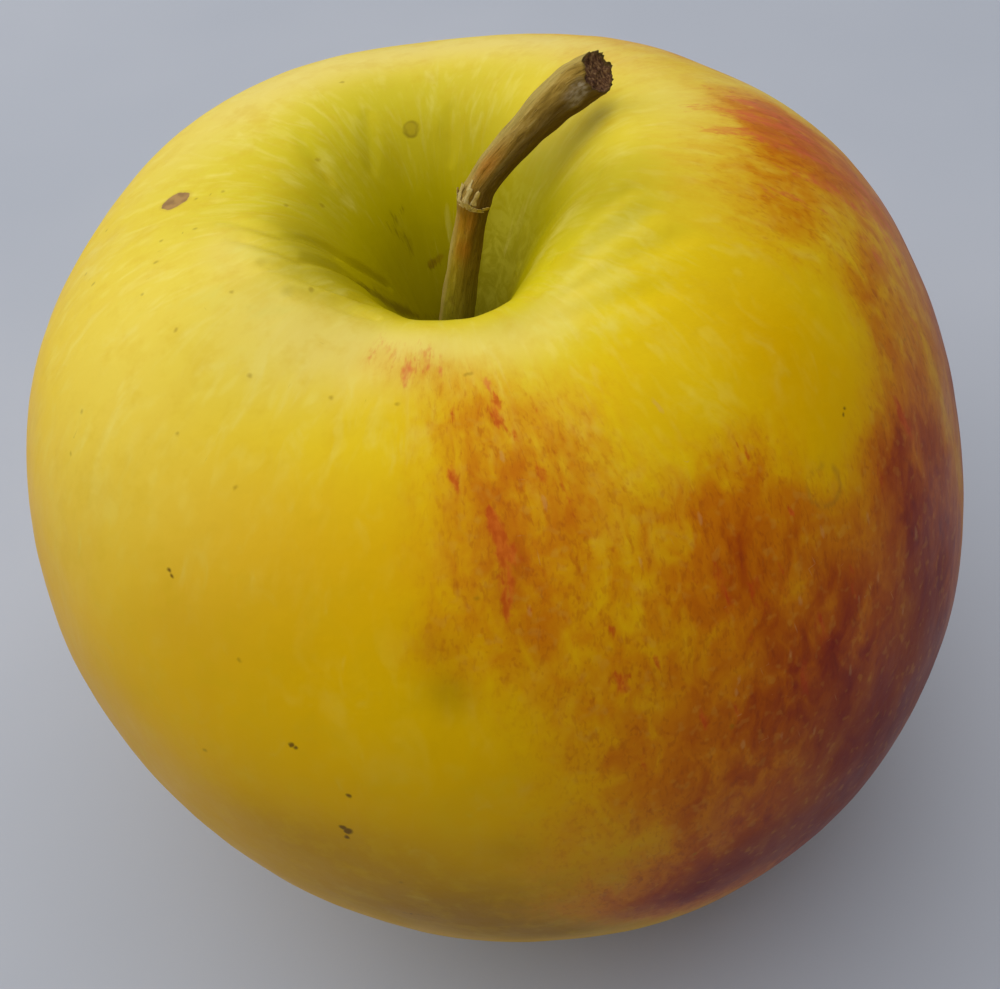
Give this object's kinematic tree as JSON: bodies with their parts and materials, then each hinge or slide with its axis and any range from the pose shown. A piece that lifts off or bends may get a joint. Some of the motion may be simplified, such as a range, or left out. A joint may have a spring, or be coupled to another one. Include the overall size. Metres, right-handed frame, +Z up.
{
  "type": "apple",
  "caption": "Whole yellow apple with a red blush, a bent woody stem in its open hollow and a dried calyx underneath; it stands on its base.",
  "frame": {"origin": "on the surface that the apple stands on, below the middle of its box", "axes": "+Z up through the core, stem at the top; -Y faces the picture's viewer, +X is the blushed side"},
  "size_m": [0.0792, 0.081, 0.0761],
  "materials": {
    "skin": "waxy satin skin, yellow with a streaked red blush",
    "stem": "dry bark, dull",
    "calyx": "dried leaf, dull"
  },
  "bodies": {
    "root": {"apple_body": "skin", "stem": "stem", "calyx": "calyx"}
  },
  "joints": []
}
